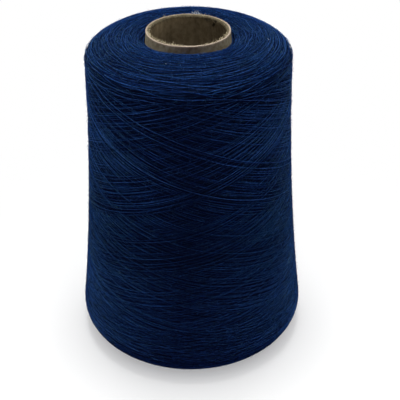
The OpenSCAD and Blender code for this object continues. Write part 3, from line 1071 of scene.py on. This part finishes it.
# %% A bent fibre
def bent_fibre(foot, heading, length, radius, rng):
    """A fibre that starts at foot, sets out along heading and bends as it goes."""
    share = np.linspace(0, 1, BIT_POINTS)[:, None]
    bend = rng.normal(0, BIT_BEND, 3) * length
    path = foot + heading * length * share + bend * share ** 2
    across = np.repeat(unit(rng.normal(size=(1, 3))), BIT_POINTS, axis=0)
    thinning = radius * (1 + BIT_TIP - share[:, 0])
    return path, across, thinning, 1, rng.uniform(0, 1), np.ones(BIT_POINTS)


def on_rim(angle, radius):
    return np.array([radius * math.cos(angle), radius * math.sin(angle), CONE_LENGTH - ROOTED])

# %% Where the bits lie
def rim_bits(rng, count, thick, long, between):
    """Bits on the frayed stretches of the rim, between two shares of the wall's thickness."""
    paths = []
    while len(paths) < count:
        degrees = rng.uniform(0, 360)
        if rng.uniform(0, 1) > STRAY + (1 - STRAY) * np.interp(degrees, np.degrees(ply_angles), FRAYED):
            continue
        angle = math.radians(degrees)
        inward = np.array([-math.cos(angle), -math.sin(angle), 0])
        foot = on_rim(angle, NOSE_RADIUS - WALL_THICK * rng.uniform(*between))
        heading = inward * rng.uniform(-0.2, 0.9) + np.array([0, 0, rng.uniform(0.3, 1)])
        heading = heading + rng.normal(0, 0.3, 3)
        paths.append(bent_fibre(foot, heading, rng.uniform(*long), rng.uniform(*thick), rng))
    return paths


def burr_paths(burrs, rng):
    """Tufts of longer fibres at given places on the rim."""
    paths = []
    for degrees, radius, count, length, thick in burrs:
        for _ in range(count):
            angle = math.radians(degrees + rng.normal(0, BURR_SCATTER))
            heading = np.array([0, 0, 0.8]) + rng.normal(0, 0.4, 3)
            paths.append(bent_fibre(on_rim(angle, radius), heading, length * rng.uniform(0.5, 1), thick, rng))
    return paths


def lint_paths(rng):
    """Specks on the dome, each a few short fibres from one point."""
    dome_lengths = np.linspace(SHOULDER_END, HIGHEST, 300)
    paths = []
    for degrees, radius in LINT:
        length = np.interp(-radius, -outline(dome_lengths, SKIN)[0], dome_lengths)
        foot = place_on(np.array([degrees / 360 * ROUND_STEPS]), np.array([length]), SKIN + LINT_LIFT)[0][0]
        for _ in range(LINT_FIBRES):
            heading = rng.normal(0, 0.6, 3) * np.array([1, 1, 0.3])
            paths.append(bent_fibre(foot, heading, rng.uniform(*LINT_LENGTH), LINT_THICK, rng))
    return paths

# %% Add crumbs, fibres and lint
bits_rng = np.random.default_rng(51)
crumb_material = paper_finish("torn_paper", colour(156, 144, 128), colour(124, 111, 93), 1)
lint = Finish("white_lint", Roughness=0.9, Specular_IOR_Level=0.1)
lint_colour = lint.mix(lint.noise(2000), colour(235, 236, 240), colour(180, 190, 205))
lint_material = lint.use(Base_Color=lint_colour)
rim_paths = rim_bits(bits_rng, CRUMBS, CRUMB, CRUMB_LENGTH, CRUMBS_BETWEEN) + burr_paths(BURRS, bits_rng)
rim_paths += rim_bits(bits_rng, RIM_FIBRES, RIM_FIBRE, RIM_FIBRE_LENGTH, RIM_FIBRES_BETWEEN)
rim_crumbs = add_tubes("rim_crumbs", rim_paths, crumb_material)
dome_lint = add_tubes("dome_lint", lint_paths(bits_rng), lint_material)
rim_lint = add_tubes("rim_lint", burr_paths(WHITE_BURRS, bits_rng), lint_material)
print("bits on the rim:", len(rim_paths))

# %% [markdown]
# ## Floor
#
# The cone stands on a plain white floor. A curved backdrop would hide the horizon, but it would need light
# of its own. This flat floor instead glows pure white to the camera away from the cone, and near the cone it
# is plain white paint that takes the shadow.

# %% Floor
FLOOR_SIZE = 3.0                 # in metres, as all lengths of the stage
FLOOR_WHITE = 0.95
GLOW_FROM, GLOW_FULL = 0.09, 0.22        # the paint gives way to the glow between these distances


def add_floor():
    finish = Finish("white_floor", Roughness=1, Specular_IOR_Level=0)
    camera_ray = finish.node("ShaderNodeLightPath", output="Is Camera Ray")
    far = finish.node("ShaderNodeVectorMath", {"operation": "LENGTH"}, {0: finish.place()}, "Value")
    glow = finish.node("ShaderNodeEmission", None, {"Color": (1, 1, 1, 1), "Strength": 1})
    share = camera_ray * far.between(GLOW_FROM, GLOW_FULL)
    shader = Value(finish, finish.shader.outputs[0])
    mixed = finish.node("ShaderNodeMixShader", None, {0: share, 1: shader, 2: glow})
    output = finish.tree.nodes["Material Output"]
    finish.fill(output.inputs["Surface"], mixed)
    finish.use(Base_Color=(FLOOR_WHITE, FLOOR_WHITE, FLOOR_WHITE, 1))
    mesh = bpy.data.meshes.new("floor")
    half = FLOOR_SIZE / 2
    corners = [(-half, -half, 0), (half, -half, 0), (half, half, 0), (-half, half, 0)]
    mesh.from_pydata(corners, [], [(0, 1, 2, 3)])
    mesh.materials.append(finish.material)
    floor = bpy.data.objects.new("floor", mesh)
    bpy.context.scene.collection.objects.link(floor)
    return floor


floor = add_floor()

# %% [markdown]
# ## Lamps and world
#
# Two small lamps, high on both sides, graze the thread and bring out its relief. They are a touch greenish,
# and the weak lamp in front is a touch violet, because dark blue thread looks greener where light only
# grazes it. Light that suits the dark thread would burn out the floor and the paper. Light linking settles
# that: a lamp lights only the pieces that it is given, so the floor and the bore have lamps of their own.
# The world is white to the camera and in reflections, and otherwise sheds no light.

# %% A lamp
SIDE_TINT = (0.95, 1, 0.84)
FRONT_TINT = (1, 0.75, 1)
MIDDLE = (0, 0, 0.08)            # what most lamps are turned to
SIDE_SIZE = (0.12, 0.12)         # small, so that the thread's relief stays crisp


def add_lamp(name, place, aim, size, power, only, tint=(1, 1, 1)):
    """An oblong lamp at a place, turned to its aim, that lights only some pieces. In metres and watts."""
    data = bpy.data.lights.new(name, "AREA")
    data.color = tint
    data.shape = "RECTANGLE"
    data.size, data.size_y = size
    data.energy = power
    lamp = bpy.data.objects.new(name, data)
    lamp.location = place
    lamp.rotation_euler = (Vector(aim) - Vector(place)).to_track_quat("-Z", "Y").to_euler()
    bpy.context.scene.collection.objects.link(lamp)
    lit = bpy.data.collections.new(name + "_lights")
    for piece in only:
        lit.objects.link(piece)
    lamp.light_linking.receiver_collection = lit

# %% The world
def add_world():
    """White to the camera and in reflections and glass, and dark to all other rays."""
    world = bpy.data.worlds.new("studio")
    world.use_nodes = True
    nodes, links = world.node_tree.nodes, world.node_tree.links
    rays = nodes.new("ShaderNodeLightPath")
    seen = rays.outputs["Is Camera Ray"]
    for kind in ("Is Glossy Ray", "Is Transmission Ray"):
        either = nodes.new("ShaderNodeMath")
        either.operation = "MAXIMUM"
        links.new(seen, either.inputs[0])
        links.new(rays.outputs[kind], either.inputs[1])
        seen = either.outputs[0]
    nodes["Background"].inputs["Color"].default_value = (1, 1, 1, 1)
    links.new(seen, nodes["Background"].inputs["Strength"])
    bpy.context.scene.world = world

# %% Place the lamps
pieces = [*end_threads, *side_threads, fuzz, wound_mass, cone_cover, cone_board]
pieces += [rim_crumbs, rim_lint, dome_lint]
add_world()
add_lamp("top_lamp", (0, 0.1, 0.95), (0, 0, 0.1), (0.7, 0.7), 1.5, [*pieces, cone_liner])
add_lamp("left_lamp", (-0.6, 0.1, 1.2), MIDDLE, SIDE_SIZE, 29.5, pieces, SIDE_TINT)
add_lamp("right_lamp", (0.6, 0.1, 1.2), MIDDLE, SIDE_SIZE, 26.5, pieces, SIDE_TINT)
add_lamp("front_lamp", (0, -1.0, 0.15), MIDDLE, (0.8, 0.4), 1.6, pieces, FRONT_TINT)
add_lamp("low_bore_lamp", (0.8, 0, 0.3), MIDDLE, (0.4, 0.6), 3.9, [cone_liner])
add_lamp("bore_lamp", (0, -0.55, 0.9), (0, 0, 0.1), (0.4, 0.4), 2.6, [cone_liner, cone_cover])
add_lamp("wide_floor_lamp", (0, 0, 0.9), (0, 0, 0), (2.2, 2.2), 13.3, [floor])
add_lamp("front_floor_lamp", (0, -0.75, 0.42), (0, -0.05, 0), (0.1, 0.1), 4.9, [floor])
add_lamp("high_floor_lamp", (0, 0.12, 0.9), (0, 0, 0), (0.3, 0.3), 2.7, [floor])

bpy.context.scene.view_settings.view_transform = "Standard"
